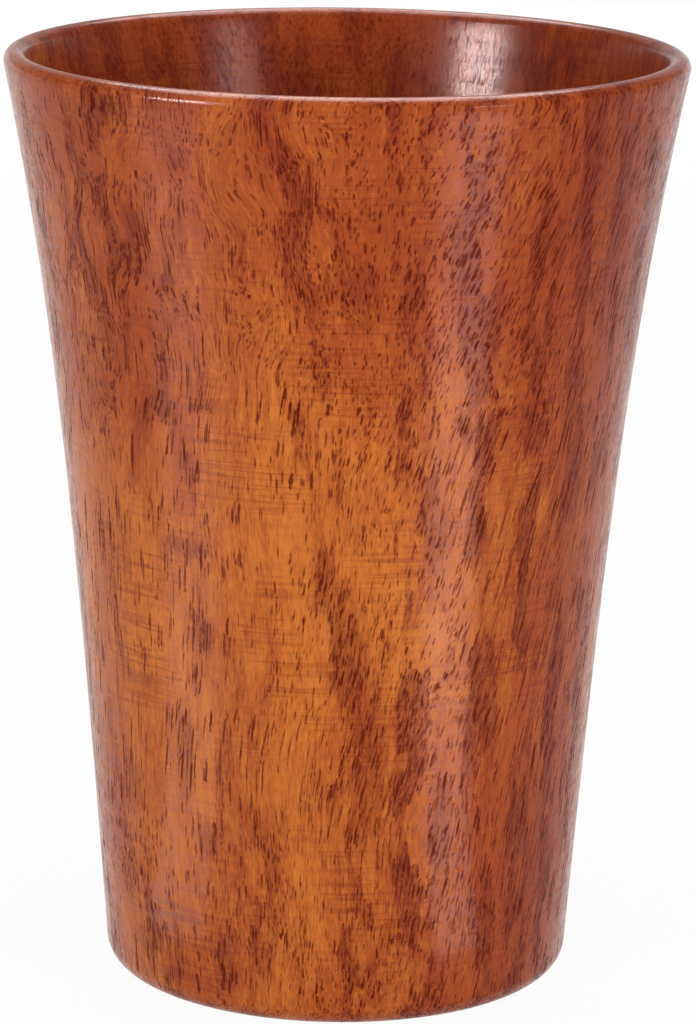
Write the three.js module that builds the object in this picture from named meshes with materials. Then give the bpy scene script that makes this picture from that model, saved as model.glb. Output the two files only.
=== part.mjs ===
// A flared drinking cup, turned on a lathe from upright-grained wood.
// The wall is bored right through, and a stepped floor plug is let in from below and glued.
// Millimetres, +Z up, origin on the table under the middle of the foot.

import * as THREE from 'three';

// Driving dimensions of the cup's outside
const CUP_HEIGHT = 105;
const RIM_DIAMETER = 75.9;
const FOOT_DIAMETER = 52.7;
const FOOT_ROUNDING = 3;
const TAPER_ANGLE = THREE.MathUtils.degToRad(4.3);
const FLARE_ANGLE = THREE.MathUtils.degToRad(11.3);
const TAPER_REACH = 52.6;
const FLARE_REACH = 26.4;

// Driving dimensions of the inside and of the floor
const LIP_THICKNESS = 2.5;
const WALL_AT_FOOT = 4.5;
const FLOOR_CORNER = 6;
const FLOOR_RECESS = 1.5;
const FLANGE_THICKNESS = 3.5;
const FLANGE_WIDTH = 2.5;
const BOSS_HEIGHT = 3;
const FLOOR_DISH = 0.5;
const GLUE_THICKNESS = 0.3;
const GLUE_CLEARANCE = 0.05;

// How finely round things are cut into flats
const TURN_SEGMENTS = 64;
const WALL_STEPS = 10;
const LIP_STEPS = 4;
const ROUNDING_STEPS = 6;
const DISH_STEPS = 3;
const SAME_POINT = 1e-6;

// Heights and radii that follow from them
const QUARTER = Math.PI / 2;
const seamWidth = GLUE_THICKNESS + 2 * GLUE_CLEARANCE;
const flangeTop = FLOOR_RECESS + FLANGE_THICKNESS;
const ledgeHeight = flangeTop + seamWidth;
const floorTop = flangeTop + BOSS_HEIGHT;
const lipRadius = LIP_THICKNESS / 2;
const footRadius = FOOT_DIAMETER / 2;
const insideFootRadius = footRadius - WALL_AT_FOOT;
const boreRadius = insideFootRadius - FLOOR_CORNER;
const plugRadius = boreRadius - seamWidth;
const flangeRadius = plugRadius + FLANGE_WIDTH;
const rebateRadius = flangeRadius + seamWidth;

const wallWood = new THREE.MeshStandardMaterial({ color: 0xa8521f, roughness: 0.35, metalness: 0 });
const plugWood = new THREE.MeshStandardMaterial({ color: 0x9c4c1e, roughness: 0.4, metalness: 0 });
const darkGlue = new THREE.MeshStandardMaterial({ color: 0x5a2c12, roughness: 0.5, metalness: 0 });

// A round piece: an outline of (radius, height) points, turned about the upright axis.
function turned(name, outline, material) {
  const geometry = new THREE.LatheGeometry(outline, TURN_SEGMENTS);
  geometry.rotateX(QUARTER);
  const mesh = new THREE.Mesh(geometry, material);
  mesh.name = name;
  return mesh;
}

// Points of a rounding, from one angle to another about its centre.
function rounding(centre, radius, from, to, steps) {
  const arc = new THREE.ArcCurve(centre.x, centre.y, radius, from, to, to < from);
  return arc.getPoints(steps);
}

// Points of a wall, which leaves its lower end at the taper's angle and reaches its upper end at
// the flare's angle. Each reach is how far that slope holds before the wall bends away from it.
function flaredWall(lower, upper, taperReach, flareReach) {
  const taper = new THREE.Vector2(Math.sin(TAPER_ANGLE), Math.cos(TAPER_ANGLE));
  const flare = new THREE.Vector2(Math.sin(FLARE_ANGLE), Math.cos(FLARE_ANGLE));
  const lowerHandle = lower.clone().addScaledVector(taper, taperReach);
  const upperHandle = upper.clone().addScaledVector(flare, -flareReach);
  const wall = new THREE.CubicBezierCurve(lower, lowerHandle, upperHandle, upper);
  return wall.getPoints(WALL_STEPS);
}

// Joins stretches of outline and drops a point that repeats the one before it.
function joined(...stretches) {
  const points = stretches.flat();
  return points.filter((point, i) => i === 0 || point.distanceTo(points[i - 1]) > SAME_POINT);
}

// The wall: up the outside from the foot ring, over the lip, down the inside, and back round the
// bore and the rebate that the floor plug fits.
function makeCupWall() {
  const footCentre = new THREE.Vector2(footRadius - FOOT_ROUNDING, FOOT_ROUNDING);
  const foot = rounding(footCentre, FOOT_ROUNDING, -QUARTER, -TAPER_ANGLE, ROUNDING_STEPS);

  const lipCentre = new THREE.Vector2(RIM_DIAMETER / 2 - lipRadius, CUP_HEIGHT - lipRadius);
  const lip = [
    ...rounding(lipCentre, lipRadius, -FLARE_ANGLE, 0, 1),
    ...rounding(lipCentre, lipRadius, 0, QUARTER, LIP_STEPS),
    ...rounding(lipCentre, lipRadius, QUARTER, Math.PI - FLARE_ANGLE, LIP_STEPS),
  ];

  const cornerCentre = new THREE.Vector2(boreRadius, floorTop + FLOOR_CORNER);
  const corner = rounding(cornerCentre, FLOOR_CORNER, -TAPER_ANGLE, -QUARTER, ROUNDING_STEPS);

  const outside = flaredWall(foot.at(-1), lip[0], TAPER_REACH, FLARE_REACH);
  const depth = (lip.at(-1).y - corner[0].y) / (lip[0].y - foot.at(-1).y);
  const inside = flaredWall(corner[0], lip.at(-1), TAPER_REACH * depth, FLARE_REACH * depth);

  const rebate = [
    new THREE.Vector2(boreRadius, ledgeHeight),
    new THREE.Vector2(rebateRadius, ledgeHeight),
    new THREE.Vector2(rebateRadius, 0),
    foot[0],
  ];
  const outline = joined(foot, outside, lip, inside.reverse(), corner, rebate);
  return turned('cup_wall', outline, wallWood);
}

// The floor plug: a boss that fills the bore, on a wider flange that seats under the wall's ledge.
// Its top is dished so that the cup drains towards the middle.
function makeFloorPlug() {
  const rimOfDish = new THREE.Vector2(plugRadius, floorTop);
  const levelOfDish = new THREE.Vector2(plugRadius / 2, floorTop - FLOOR_DISH);
  const middleOfDish = new THREE.Vector2(0, floorTop - FLOOR_DISH);
  const dish = new THREE.QuadraticBezierCurve(rimOfDish, levelOfDish, middleOfDish);
  const outline = [
    new THREE.Vector2(0, FLOOR_RECESS),
    new THREE.Vector2(flangeRadius, FLOOR_RECESS),
    new THREE.Vector2(flangeRadius, flangeTop),
    new THREE.Vector2(plugRadius, flangeTop),
    ...dish.getPoints(DISH_STEPS),
  ];
  return turned('floor_plug', outline, plugWood);
}

// The glue: one thin ring that fills the seam beside the flange, over it and beside the boss.
function makeGlueRing() {
  const outer = rebateRadius - GLUE_CLEARANCE;
  const inner = flangeRadius + GLUE_CLEARANCE;
  const neckOuter = boreRadius - GLUE_CLEARANCE;
  const neckInner = plugRadius + GLUE_CLEARANCE;
  const bedTop = ledgeHeight - GLUE_CLEARANCE;
  const bedBottom = flangeTop + GLUE_CLEARANCE;
  const outline = [
    new THREE.Vector2(inner, FLOOR_RECESS),
    new THREE.Vector2(outer, FLOOR_RECESS),
    new THREE.Vector2(outer, bedTop),
    new THREE.Vector2(neckOuter, bedTop),
    new THREE.Vector2(neckOuter, floorTop),
    new THREE.Vector2(neckInner, floorTop),
    new THREE.Vector2(neckInner, bedBottom),
    new THREE.Vector2(inner, bedBottom),
    new THREE.Vector2(inner, FLOOR_RECESS),
  ];
  return turned('glue_ring', outline, darkGlue);
}

const cup = new THREE.Group();
cup.add(makeCupWall());
cup.add(makeFloorPlug());
cup.add(makeGlueRing());

export default cup;
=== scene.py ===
# A flared drinking cup, turned from reddish ring-porous wood and coated with clear lacquer.
import math

import bmesh
import bpy
from mathutils import Color, Euler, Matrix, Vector, geometry


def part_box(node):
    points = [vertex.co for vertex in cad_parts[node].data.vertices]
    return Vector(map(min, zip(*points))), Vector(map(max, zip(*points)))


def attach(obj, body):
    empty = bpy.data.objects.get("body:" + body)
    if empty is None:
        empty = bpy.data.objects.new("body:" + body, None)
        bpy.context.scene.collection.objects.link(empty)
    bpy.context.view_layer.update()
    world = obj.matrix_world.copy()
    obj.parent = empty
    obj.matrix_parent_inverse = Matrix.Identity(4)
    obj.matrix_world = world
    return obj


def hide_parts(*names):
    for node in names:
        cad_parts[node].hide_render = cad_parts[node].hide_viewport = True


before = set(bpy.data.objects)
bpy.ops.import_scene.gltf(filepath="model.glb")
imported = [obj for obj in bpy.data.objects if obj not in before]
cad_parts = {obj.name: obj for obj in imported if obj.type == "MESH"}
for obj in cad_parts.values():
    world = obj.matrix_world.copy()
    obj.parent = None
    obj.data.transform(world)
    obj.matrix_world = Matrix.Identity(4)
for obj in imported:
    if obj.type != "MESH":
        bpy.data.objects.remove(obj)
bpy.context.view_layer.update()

# Cup wall: one block of hardwood with its grain upright, turned on a lathe inside and out and bored
# right through. The lip and the foot are sanded round, the underside is rebated for the floor, and
# clear lacquer goes over everything.
mm = 0.001
_, wall_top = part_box("cup_wall")
cup_height = wall_top.z
rim_radius = wall_top.x
foot_radius = 26.35 * mm
foot_rounding = 3 * mm
lip_rounding = 1.25 * mm
wall_at_foot = 4.5 * mm
floor_corner = 6 * mm
floor_top = 8 * mm
ledge_height = 5.4 * mm
rebate_radius = 18.35 * mm
taper = math.radians(4.3)
flare = math.radians(11.3)
taper_reach = 52.6 * mm
flare_reach = 26.4 * mm
quarter_turn = math.radians(90)
crisp_corner = math.radians(35)
same_point = 0.001 * mm
turning_steps = 256
wall_steps = 64
rounding_steps = 10


def pencil_to(outline, tip, x, z):
    """Draws the outline on from its tip to a point at radius x and height z, the new tip."""
    tip = bmesh.ops.extrude_vert_indiv(outline, verts=[tip])["verts"][0]
    tip.co = (x, 0, z)
    return tip


def pencil_round(outline, tip, x, z, angle):
    """Draws the outline on from its tip as an arc about a centre at radius x and height z."""
    arc = bmesh.ops.spin(
        outline,
        geom=[tip],
        cent=(x, 0, z),
        axis=(0, -1, 0),
        angle=angle,
        steps=rounding_steps,
    )
    return next(part for part in arc["geom_last"] if isinstance(part, bmesh.types.BMVert))


def pencil_curve(outline, tip, start_handle, end_handle, end, steps):
    """Draws the outline on from its tip as a curve that two handles pull on."""
    for point in geometry.interpolate_bezier(tip.co, start_handle, end_handle, end, steps)[1:]:
        tip = pencil_to(outline, tip, point.x, point.z)
    return tip


def pencil_wall(outline, tip, end, start_slope, start_reach, end_slope, end_reach):
    """Draws the outline on from its tip as a wall that leaves and arrives at the given slopes."""
    start_handle = tip.co + start_reach * Vector((math.sin(start_slope), 0, math.cos(start_slope)))
    end_handle = end - end_reach * Vector((math.sin(end_slope), 0, math.cos(end_slope)))
    return pencil_curve(outline, tip, start_handle, end_handle, end, wall_steps)


def placed(shape, name):
    """Makes a finished shape into an object of the scene."""
    mesh = bpy.data.meshes.new(name)
    shape.to_mesh(mesh)
    shape.free()
    piece = bpy.data.objects.new(name, mesh)
    bpy.context.collection.objects.link(piece)
    return piece


def turn_on_lathe(outline, name):
    """Turns an outline about the cup's axis into a closed piece with smooth rounds and crisp corners."""
    bmesh.ops.spin(
        outline,
        geom=outline.verts[:] + outline.edges[:],
        axis=(0, 0, 1),
        cent=(0, 0, 0),
        angle=4 * quarter_turn,
        steps=turning_steps,
        use_merge=True,
    )
    bmesh.ops.remove_doubles(outline, verts=outline.verts, dist=same_point)
    bmesh.ops.recalc_face_normals(outline, faces=outline.faces)
    for face in outline.faces:
        face.smooth = True
    for edge in outline.edges:
        edge.smooth = edge.calc_face_angle(0) < crisp_corner
    return placed(outline, name)


lip_centre = Vector((rim_radius - lip_rounding, 0, cup_height - lip_rounding))
inside_centre = Vector((foot_radius - wall_at_foot - floor_corner, 0, floor_top + floor_corner))
lip_outside = lip_centre + lip_rounding * Vector((math.cos(flare), 0, -math.sin(flare)))
inside_foot = inside_centre + floor_corner * Vector((math.cos(taper), 0, -math.sin(taper)))

outline = bmesh.new()
foot_edge = outline.verts.new((foot_radius - foot_rounding, 0, 0))
tip = pencil_round(outline, foot_edge, foot_radius - foot_rounding, foot_rounding, quarter_turn - taper)
outside_height = lip_outside.z - tip.co.z
tip = pencil_wall(outline, tip, lip_outside, taper, taper_reach, flare, flare_reach)
tip = pencil_round(outline, tip, lip_centre.x, lip_centre.z, quarter_turn + flare)
tip = pencil_round(outline, tip, lip_centre.x, lip_centre.z, quarter_turn - flare)
depth = (tip.co.z - inside_foot.z) / outside_height
tip = pencil_wall(outline, tip, inside_foot, flare, -flare_reach * depth, taper, -taper_reach * depth)
tip = pencil_round(outline, tip, inside_centre.x, inside_centre.z, taper - quarter_turn)
tip = pencil_to(outline, tip, inside_centre.x, ledge_height)
tip = pencil_to(outline, tip, rebate_radius, ledge_height)
tip = pencil_to(outline, tip, rebate_radius, 0)
outline.edges.new((tip, foot_edge))
cup_wall = turn_on_lathe(outline, "turned_cup_wall")

# How squarely the surface faces away from the cup's axis: 1 outside, 0 on top of the lip, -1 inside
facing_out = cup_wall.data.attributes.new("facing_out", "FLOAT", "POINT")
for vertex, facing in zip(cup_wall.data.vertices, facing_out.data):
    facing.value = vertex.normal.dot(Vector((vertex.co.x, vertex.co.y, 0)).normalized())


class Tone:
    """A socket of a finish. Sums on tones add Math nodes, and node() adds any other node."""

    def __init__(self, tree, socket=None):
        self.tree = tree
        self.socket = socket

    def node(self, kind, settings=None, sockets=None, output=0):
        made = self.tree.nodes.new(kind)
        for setting, value in (settings or {}).items():
            setattr(made, setting, value)
        for socket, value in (sockets or {}).items():
            self.feed(made.inputs[socket], value)
        return Tone(self.tree, made.outputs[output])

    def feed(self, socket, value):
        if isinstance(value, Tone):
            self.tree.links.new(value.socket, socket)
        else:
            socket.default_value = value

    def beside(self, output):
        """Another output of the node that this tone comes from."""
        return Tone(self.tree, self.socket.node.outputs[output])

    def sum(self, operation, first, second=0.0):
        return self.node("ShaderNodeMath", {"operation": operation}, {0: first, 1: second})

    def __add__(self, other):
        return self.sum("ADD", self, other)

    def __sub__(self, other):
        return self.sum("SUBTRACT", self, other)

    def __rsub__(self, other):
        return self.sum("SUBTRACT", other, self)

    def __mul__(self, other):
        return self.sum("MULTIPLY", self, other)

    def __truediv__(self, other):
        return self.sum("DIVIDE", self, other)

    def __pow__(self, other):
        return self.sum("POWER", self, other)

    __radd__ = __add__
    __rmul__ = __mul__


def new_finish(name):
    """A new material, its main shader and a tone to build on."""
    material = bpy.data.materials.new(name)
    material.use_nodes = True
    return material, material.node_tree.nodes["Principled BSDF"], Tone(material.node_tree)


def rise(tone, start, end):
    """A smooth step from 0 where the tone is at start to 1 where it is at end."""
    reach = {"Value": tone, "From Min": start, "From Max": end}
    return tone.node("ShaderNodeMapRange", {"interpolation_type": "SMOOTHSTEP"}, reach)


def stretched(place, x, y, z):
    """A place with each axis multiplied, so that what is drawn on it shrinks by as much."""
    return place.node("ShaderNodeVectorMath", {"operation": "MULTIPLY"}, {0: place, 1: (x, y, z)})


def shifted(place, shift):
    """A place moved by a shift."""
    return place.node("ShaderNodeVectorMath", {"operation": "ADD"}, {0: place, 1: shift})


def streaks(place, scale, along=1.0, detail=2.0):
    """Soft noise from 0 to 1, which changes along Z at the given share of its speed across."""
    sockets = {"Vector": stretched(place, 1, 1, along), "Scale": scale, "Detail": detail}
    return place.node("ShaderNodeTexNoise", {}, sockets, "Fac")


def sway(place, scale, along, width):
    """Soft noise as a shift to the sides, from one edge of the width to the other."""
    sockets = {"Vector": stretched(place, 1, 1, along), "Scale": scale, "Detail": 1.0}
    noise = place.node("ShaderNodeTexNoise", {}, sockets, "Color")
    centred = place.node("ShaderNodeVectorMath", {"operation": "SUBTRACT"}, {0: noise, 1: (0.5, 0.5, 0.5)})
    return stretched(centred, width, width, 0)


def dyed(amount, colour, dye):
    """A colour that turns into the dye as the amount goes from 0 to 1."""
    return amount.node("ShaderNodeMix", {"data_type": "RGBA"}, {0: amount, 6: colour, 7: dye}, 2)


def roughened(shader, relief, strength, depth):
    """Gives a shader's surface a fine relief of the given strength and depth."""
    sockets = {"Strength": strength, "Distance": depth, "Height": relief}
    bump = relief.node("ShaderNodeBump", {}, sockets, "Normal")
    relief.feed(shader.inputs["Normal"], bump)


def paint(red, green, blue):
    """A colour as a screen shows it, from 0 to 255, in the light values that a shader takes."""
    return (*Color((red / 255, green / 255, blue / 255)).from_srgb_to_scene_linear(), 1)


honey = paint(204, 116, 46)
amber = paint(166, 76, 30)
rust = paint(132, 46, 14)
russet = paint(124, 34, 12)
umber = paint(96, 34, 22)
pore_brown = paint(90, 19, 8)

# The tree, in mm: which way it grew, how far off its heart was, its rings, and its pores' spacing
growth_direction = math.radians(-53)
heart_distance = 150.0
heart_lean = 0.125
ring_width = 6.6
ring_raggedness = 3.0
wide_pore = 0.42
fine_pore = 0.28
pore_run = 6.0

# A pore's bore in shares of the spacing, its soft edge in shares of the bore, and its depth and lean
least_bore = 0.3
bore_spread = 0.24
pore_core = 0.45
pore_edge = 1.2
fraying = 0.9
least_depth = 0.75
depth_spread = 0.25
pore_tilt = 0.05
pore_twist = 0.007
twist_height = 55.0

# Where the figure changes, from and to, in mm outward from the heart or up the grain
flat_face = (-33, -27)
curled_height = (55, 80)
pores_outward = (-38, -8)
pores_upward = (50, 95)
red_outward = (-22, -4)
# Red towards the lip is partly the wood's tone and partly painted shade on the flared top
red_and_shade_upward = (50, 100)
red_downward = (15, 50)

# How many pores are open: anywhere, by the lip, in spring wood, astray, in crowds, and among fine ones
sparse = 0.22
more_by_lip = 0.45
in_spring = 0.2
astray = 0.03
astray_in_crowd = 0.27
in_spot = 0.8
fine_anywhere = 0.35
fine_in_crowd = 0.6
fine_by_wide = 0.4

# How much of a pore the lacquer leaves: on top of the lip, and what the outside and the inside add
left_on_lip = 0.25
more_outside = 0.75
more_inside = 0.35

# How red the wood gets from each cause, and how strongly each dye takes
blotch_red = 1.2
fibre_red = 0.9
fine_fibre_red = 1.1
outward_red = 0.35
# Near the lip the added red is partly the wood's tone and partly painted shade on the downward-facing
# flare
lip_red_and_painted_shade = 0.45
foot_red = 0.2
rust_dye = 0.75
russet_dye = 0.45
umber_dye = 0.4
scratch_dye = 0.42
fine_pore_dye = 0.82
wide_pore_dye = 0.95

# Angle round the front, height, half width and half length of places where pores crowd together
crowded_spots = [
    (7, 31, 2.2, 11),
    (3, 43, 2.0, 5),
    (-9, 89, 1.6, 8),
    (4, 84, 2.2, 5),
    (21, 89, 2.0, 9),
    (19, 58, 1.8, 11),
    (34, 37, 1.6, 6),
    (-51, 82, 2.0, 4),
    (-36, 70, 2.2, 2),
    (-32, 54.5, 2.4, 2),
    (-29, 45, 1.2, 2.5),
    (-36, 31, 1.6, 7),
    (-30, 21, 2.0, 3),
    (-27, 7.5, 2.0, 4),
    (-3.5, 52, 1.2, 5),
    (24, 24, 1.4, 9),
]
level_reach = 1 * mm


def on_wall(angle, height):
    """A point on the outside of the wall, at an angle round from the front and a height in mm."""
    radius = max(v.co.x for v in cup_wall.data.vertices if abs(v.co.z - height * mm) < level_reach)
    turn = math.radians(angle)
    return Vector((radius * math.sin(turn), -radius * math.cos(turn), height * mm)) / mm


def pore_dashes(place, spacing, share, fray):
    """Pores of one size, long tubes that the sloping wall cuts into dashes: 0 where there is none."""
    lying = stretched(place, 1 / spacing, 1 / spacing, 1 / pore_run)
    distance = place.node("ShaderNodeTexVoronoi", {}, {"Vector": lying, "Scale": 1.0}, "Distance")
    luck = place.node("ShaderNodeSeparateColor", {}, {0: distance.beside("Color")}, "Red")
    bore = least_bore + bore_spread * luck.beside("Green")
    dash = 1 - rise(distance + fraying * (fray - 0.5), pore_core * bore, pore_edge * bore)
    depth = least_depth + depth_spread * luck.beside("Blue")
    return dash * depth * place.sum("GREATER_THAN", share, luck)


def lacquered_wood(name, grain_turn, spots):
    """Ring-porous wood under clear lacquer. The turn brings growth to X and the grain to Z, in mm."""
    material, shader, wood = new_finish(name)
    place = wood.node("ShaderNodeTexCoord", output="Object")
    in_mm = {"Vector": place, "Rotation": grain_turn, "Scale": (1 / mm, 1 / mm, 1 / mm)}
    board = wood.node("ShaderNodeMapping", {}, in_mm)

    # Bends of the grain, which rings and pores follow: slow, quick, and curled high on the flat face
    bent = shifted(board, sway(board, scale=0.022, along=0.6, width=10))
    bent = shifted(bent, sway(board, scale=0.075, along=0.45, width=4))
    face = wood.node("ShaderNodeSeparateXYZ", {}, {0: board}, "X")
    curled = (1 - rise(face, *flat_face)) * rise(face.beside("Z"), *curled_height)
    curl = {0: sway(board, scale=0.11, along=1.0, width=5), "Scale": curled}
    bent = shifted(bent, wood.node("ShaderNodeVectorMath", {"operation": "SCALE"}, curl))
    outward = wood.node("ShaderNodeSeparateXYZ", {}, {0: bent}, "X")
    along_ring = outward.beside("Y")
    along_grain = outward.beside("Z")

    # Age within a year's ring: 0 where growth starts in spring, 1 where it stops
    reach = outward + heart_distance + along_grain * heart_lean
    ring_radius = (reach * reach + along_ring * along_ring) ** 0.5
    ragged = ring_raggedness * streaks(bent, scale=0.8, along=0.2)
    age = wood.sum("FRACT", (ring_radius + ragged) / ring_width)
    spring = rise(age, start=0.0, end=0.12) * (1 - rise(age, start=0.2, end=0.8))

    # Fibres in two sizes, blotches, and level scratches left by the lathe in patches
    fibre = streaks(bent, scale=1.4, along=0.1, detail=4.0)
    fine_fibre = streaks(bent, scale=4.0, along=0.2, detail=3.0)
    blotch = streaks(bent, scale=0.11, along=0.35, detail=4.0)
    lathe_lines = streaks(board, scale=0.1, along=24.0, detail=3.0)
    scratched_patch = rise(streaks(board, scale=0.1), start=0.35, end=0.65)
    lathe_marks = rise(lathe_lines, start=0.48, end=0.62) * scratched_patch

    # Share of pores that are open: more on the outward side, near the lip, in spring wood and in spots
    crowd = rise(streaks(bent, scale=0.4, along=0.3, detail=3.0), start=0.4, end=0.62)
    density = sparse + rise(outward, *pores_outward) + more_by_lip * rise(along_grain, *pores_upward)
    share = density * (spring * (in_spring + crowd) + astray + astray_in_crowd * crowd)
    for angle, height, half_width, half_length in spots:
        middle = Euler(grain_turn).to_matrix() @ on_wall(angle, height)
        offset = stretched(shifted(board, -middle), 1 / half_width, 1 / half_width, 1 / half_length)
        away = wood.node("ShaderNodeVectorMath", {"operation": "LENGTH"}, {0: offset}, "Value")
        share = share + in_spot * (1 - rise(away, start=0.2, end=1.4))
    share = wood.sum("MINIMUM", share, 1.0)
    fine_share = density * (fine_anywhere + fine_in_crowd * crowd) + fine_by_wide * share

    # Pores, wide and fine, which tilt and twist a little against the grain. Lacquer fills most of
    # each pore on the lip and part of it inside the cup.
    slant = {"X": pore_twist * along_ring * (along_grain - twist_height), "Y": pore_tilt * along_grain}
    leaning = shifted(bent, wood.node("ShaderNodeCombineXYZ", {}, slant))
    fray = streaks(leaning, scale=4.0, along=0.4, detail=3.0)
    facing = wood.node("ShaderNodeAttribute", {"attribute_name": "facing_out"}, {}, "Fac")
    outside = rise(facing, start=0.2, end=0.8)
    inside = rise(facing, start=-0.2, end=-0.8)
    unfilled = left_on_lip + more_outside * outside + more_inside * inside
    wide = unfilled * pore_dashes(leaning, wide_pore, share, fray)
    fine = unfilled * pore_dashes(leaning, fine_pore, fine_share, fray)
    pore = wood.sum("MAXIMUM", wide, 0.7 * fine)

    # Colour: honey to amber and rust, redder outward, at the lip and at the foot, then spring wood,
    # scratches and pores. The redder lip is partly the wood's own tone and partly painted shade on
    # the flared top, which faces down.
    redness = blotch_red * blotch + fibre_red * fibre + fine_fibre_red * fine_fibre
    redness = redness + outward_red * rise(outward, *red_outward)
    # Painted shade: darker and redder towards the lip, standing in for shade on the flared top that faces
    # down; part of it is the wood's own redder tone
    redness = redness + lip_red_and_painted_shade * rise(along_grain, *red_and_shade_upward)
    redness = redness + foot_red * (1 - rise(along_grain, *red_downward))
    colour = dyed(rise(redness, start=1.2, end=2.1), honey, amber)
    colour = dyed(rust_dye * rise(redness, start=1.7, end=2.9), colour, rust)
    colour = dyed(russet_dye * share * (0.4 + fibre), colour, russet)
    colour = dyed(umber_dye * rise(share + 1.6 * fine_fibre, start=1.1, end=2.2), colour, umber)
    colour = dyed(scratch_dye * lathe_marks, colour, russet)
    colour = dyed(fine_pore_dye * fine, colour, pore_brown)
    colour = dyed(wide_pore_dye * wide, colour, pore_brown)
    wood.feed(shader.inputs["Base Color"], colour)

    # Lacquer: satin where it has sunk into pores and scratches, with a glossier skin between them
    wood.feed(shader.inputs["Roughness"], 0.36 + 0.15 * pore + 0.08 * lathe_lines)
    roughened(shader, 0.5 * lathe_lines + 0.3 * fine_fibre - pore, strength=0.35, depth=0.05 * mm)
    skin = (1 - pore) * rise(fine_fibre + 0.5 * lathe_lines, start=0.45, end=0.85)
    wood.feed(shader.inputs["Coat Weight"], skin)
    shader.inputs["Coat Roughness"].default_value = 0.2
    shader.inputs["Coat IOR"].default_value = 1.22
    shader.inputs["IOR"].default_value = 1.1
    shader.inputs["Anisotropic"].default_value = 0.8
    shader.inputs["Anisotropic Rotation"].default_value = 0.25
    return material


wall_wood = lacquered_wood("upright_grain_wood", (0, 0, growth_direction), crowded_spots)
cup_wall.data.materials.append(wall_wood)
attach(cup_wall, "root")
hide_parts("cup_wall")

# Glue ring: dark wood glue squeezed into the seam between the wall and the floor. It is spread on
# the rebate by hand, fills the stepped gap and is wiped flush on both sides.
glue_clearance = 0.05 * mm
glue_thickness = 0.3 * mm
seam = glue_thickness + 2 * glue_clearance
floor_recess = 1.5 * mm
bore_radius = inside_centre.x
bed_outer = rebate_radius - glue_clearance
bed_inner = bed_outer - glue_thickness
bed_top = ledge_height - glue_clearance
bed_bottom = bed_top - glue_thickness
neck_outer = bore_radius - glue_clearance
neck_inner = neck_outer - glue_thickness
glue_dark = paint(70, 30, 12)
glue_light = paint(104, 52, 22)

outline = bmesh.new()
glue_start = outline.verts.new((bed_outer, 0, floor_recess))
tip = pencil_to(outline, glue_start, bed_outer, bed_top)
tip = pencil_to(outline, tip, neck_outer, bed_top)
tip = pencil_to(outline, tip, neck_outer, floor_top)
tip = pencil_to(outline, tip, neck_inner, floor_top)
tip = pencil_to(outline, tip, neck_inner, bed_bottom)
tip = pencil_to(outline, tip, bed_inner, bed_bottom)
tip = pencil_to(outline, tip, bed_inner, floor_recess)
outline.edges.new((tip, glue_start))
glue_ring = turn_on_lathe(outline, "glue_seam_ring")

cured_glue, glue_shader, glue = new_finish("cured_glue")
mottle = streaks(glue.node("ShaderNodeTexCoord", output="Object"), scale=0.7 / mm)
glue.feed(glue_shader.inputs["Base Color"], dyed(mottle, glue_dark, glue_light))
glue.feed(glue_shader.inputs["Roughness"], 0.35 + 0.3 * mottle)
roughened(glue_shader, mottle, strength=0.4, depth=0.05 * mm)
glue_ring.data.materials.append(cured_glue)
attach(glue_ring, "root")
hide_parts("glue_ring")

# Floor plug: a stepped disc of the same wood with its grain lying across the cup. It is turned to
# size, pressed in from below until its flange meets the ledge, and lacquered with the wall.
plug_radius = bore_radius - seam
flange_radius = rebate_radius - seam
flange_top = ledge_height - seam
floor_dish = 0.5 * mm
dish_steps = 12
plug_grain = (quarter_turn, 0, 0.4)

outline = bmesh.new()
tip = outline.verts.new((0, 0, floor_recess))
tip = pencil_to(outline, tip, flange_radius, floor_recess)
tip = pencil_to(outline, tip, flange_radius, flange_top)
tip = pencil_to(outline, tip, plug_radius, flange_top)
tip = pencil_to(outline, tip, plug_radius, floor_top)
dish_middle = Vector((0, 0, floor_top - floor_dish))
dish_slope = dish_middle + Vector((plug_radius / 3, 0, 0))
dish_edge = tip.co.lerp(dish_slope, 0.5)
tip = pencil_curve(outline, tip, dish_edge, dish_slope, dish_middle, dish_steps)
floor_plug = turn_on_lathe(outline, "floor_plug_disc")
floor_plug.data.materials.append(lacquered_wood("cross_grain_wood", plug_grain, []))
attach(floor_plug, "root")
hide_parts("floor_plug")

# Table: a wide white sheet that the cup stands on. It glows white to the eye and in reflections, and
# part of it stays plain white paper that takes the cup's shadow.
table_size = 3.0
table_drop = 0.02 * mm
table_glow = 0.95
white = (1, 1, 1, 1)
table = bmesh.new()
bmesh.ops.create_grid(table, x_segments=1, y_segments=1, size=table_size)
bmesh.ops.translate(table, verts=table.verts, vec=(0, 0, -table_drop))
white_table = placed(table, "white_table")


def seen_by_eye(finish):
    """1 for what the camera sees, straight or in gloss or glass, and 0 for light that falls on things."""
    path = finish.node("ShaderNodeLightPath", output="Is Camera Ray")
    seen = path + path.beside("Is Glossy Ray") + path.beside("Is Transmission Ray")
    return path.sum("MINIMUM", seen, 1.0)


paper, paper_shader, sheet = new_finish("white_paper")
paper_shader.inputs["Base Color"].default_value = paint(244, 244, 244)
paper_shader.inputs["Roughness"].default_value = 0.9
paper_shader.inputs["Specular IOR Level"].default_value = 0.0
glow = sheet.node("ShaderNodeEmission", {}, {"Color": white, "Strength": 1.0})
lit = Tone(paper.node_tree, paper_shader.outputs[0])
mixed = sheet.node("ShaderNodeMixShader", {}, {0: table_glow * seen_by_eye(sheet), 1: lit, 2: glow})
sheet.feed(paper.node_tree.nodes["Material Output"].inputs["Surface"], mixed)
white_table.data.materials.append(paper)

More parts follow.
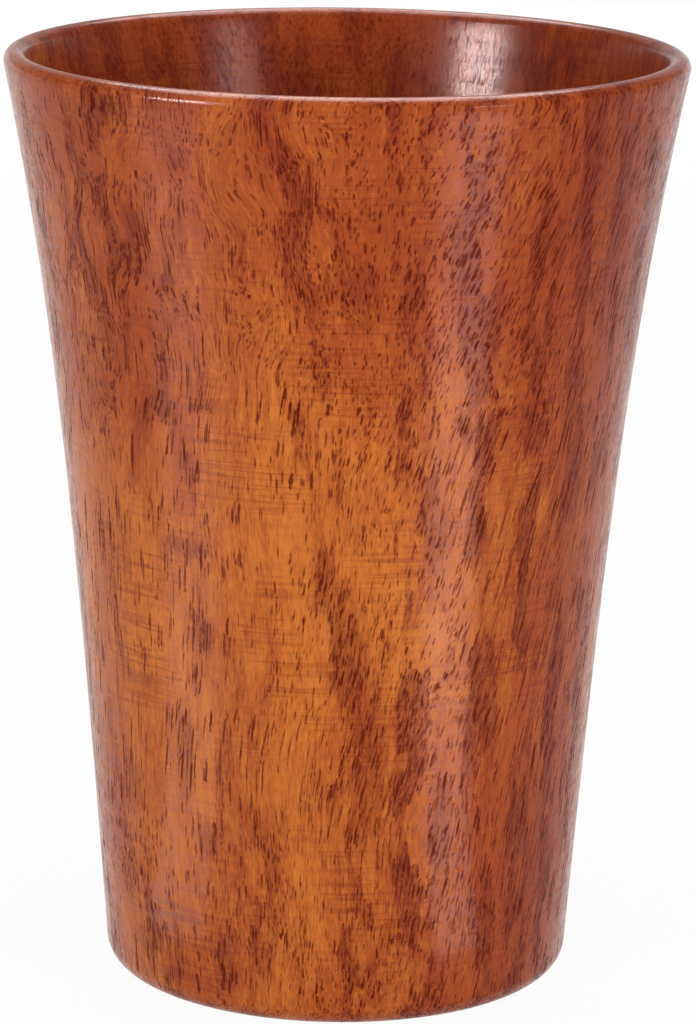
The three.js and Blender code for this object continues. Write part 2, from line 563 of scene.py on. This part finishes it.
# Light: a white room that is dimmer overhead, four plain softboxes round the cup, and bright cards
# that show only in the lacquer. The cards draw the upright bands of light on the wall, the gloss
# inside the cup and the light along the lip.
room_fill = 0.46
white_up_to = 0.1
dim_from = 0.16
room_above = 0.25
world = bpy.data.worlds.new("white_room")
world.use_nodes = True
bpy.context.scene.world = world
room = Tone(world.node_tree)
direction = room.node("ShaderNodeTexCoord", output="Generated")
upward = room.node("ShaderNodeSeparateXYZ", {}, {0: direction}, "Z")
room_white = 1 - (1 - room_above) * rise(upward, white_up_to, dim_from)
background = world.node_tree.nodes["Background"]
background.inputs["Color"].default_value = white
room.feed(background.inputs["Strength"], room_fill + (room_white - room_fill) * seen_by_eye(room))


def softbox(name, place, tip, turn, size, power):
    """A square softbox at a place, tipped up from facing down and turned round from facing the back."""
    lamp = bpy.data.lights.new(name, "AREA")
    lamp.size = size
    lamp.energy = power
    box = bpy.data.objects.new(name, lamp)
    box.location = place
    box.rotation_euler = (math.radians(tip), 0, math.radians(turn))
    box.visible_camera = False
    box.visible_glossy = False
    bpy.context.collection.objects.link(box)


softbox("left_softbox", place=(-0.43, -0.55, 0.25), tip=90, turn=-38, size=0.28, power=2.0)
softbox("right_softbox", place=(0.52, -0.47, 0.25), tip=90, turn=48, size=0.28, power=2.0)
softbox("back_softbox", place=(0, 0.9, 0.25), tip=90, turn=180, size=0.4, power=2.2)
softbox("top_softbox", place=(0, 0, 0.7), tip=0, turn=0, size=0.3, power=0.8)


def bright_card(name, azimuth, brightness, near, far):
    """A bright card that shows only in the lacquer. Each edge has its width, distance and height."""
    half_side = 0.5
    shape = bmesh.new()
    bmesh.ops.create_grid(shape, x_segments=1, y_segments=1, size=half_side)
    for side, (width, distance, height) in ((half_side, near), (-half_side, far)):
        corners = [corner for corner in shape.verts if corner.co.y == side]
        bmesh.ops.scale(shape, verts=corners, vec=(width, 0, 0))
        bmesh.ops.translate(shape, verts=corners, vec=(0, -distance, height))
    turn = Euler((0, 0, math.radians(azimuth))).to_matrix()
    bmesh.ops.rotate(shape, verts=shape.verts, matrix=turn)
    card = placed(shape, name)
    card.visible_camera = False
    card.visible_diffuse = False
    card.visible_shadow = False
    material, _, face = new_finish(name)
    glow = face.node("ShaderNodeEmission", {}, {"Color": white, "Strength": brightness})
    face.feed(material.node_tree.nodes["Material Output"].inputs["Surface"], glow)
    card.data.materials.append(material)


bright_card("overhead_card", 180, brightness=13.0, near=(0.6, 0.65, 0.65), far=(0.6, -0.05, 0.65))
bright_card("back_card", 180, brightness=0.6, near=(0.8, 0.7, 0.25), far=(0.8, 0.7, 0.6))
bright_card("left_table_card", -62, brightness=4.2, near=(0.02, 0.04, 0.001), far=(0.1, 0.25, 0.001))
bright_card("right_table_card", 43, brightness=8.5, near=(0.012, 0.04, 0.001), far=(0.09, 0.25, 0.001))
bright_card("left_high_card", -54, brightness=90.0, near=(0.13, 0.4, 0.14), far=(0.13, 0.4, 0.22))
bright_card("right_high_card", 45, brightness=26.0, near=(0.1, 0.4, 0.17), far=(0.1, 0.4, 0.205))

# Camera: a long lens in front of the cup, half a metre off and a little above it. It looks down
# slightly and is held a touch off level, and its picture is shifted by a hair to the side.
camera_distance = 512.06 * mm
camera_height = 174.23 * mm
camera_pitch = math.radians(13.38)
camera_roll = math.radians(0.762)
lens = bpy.data.cameras.new("camera")
lens.sensor_width = 36
lens.lens = 163.53
lens.shift_x = 0.0066
lens.dof.use_dof = False
camera = bpy.data.objects.new("camera", lens)
camera.location = (0, -camera_distance, camera_height)
camera.rotation_mode = "XYZ"
camera.rotation_euler = (quarter_turn - camera_pitch, 0, 0)
camera.rotation_euler.rotate_axis("Z", camera_roll)
bpy.context.collection.objects.link(camera)
bpy.context.scene.camera = camera
bpy.context.scene.view_settings.view_transform = "Standard"
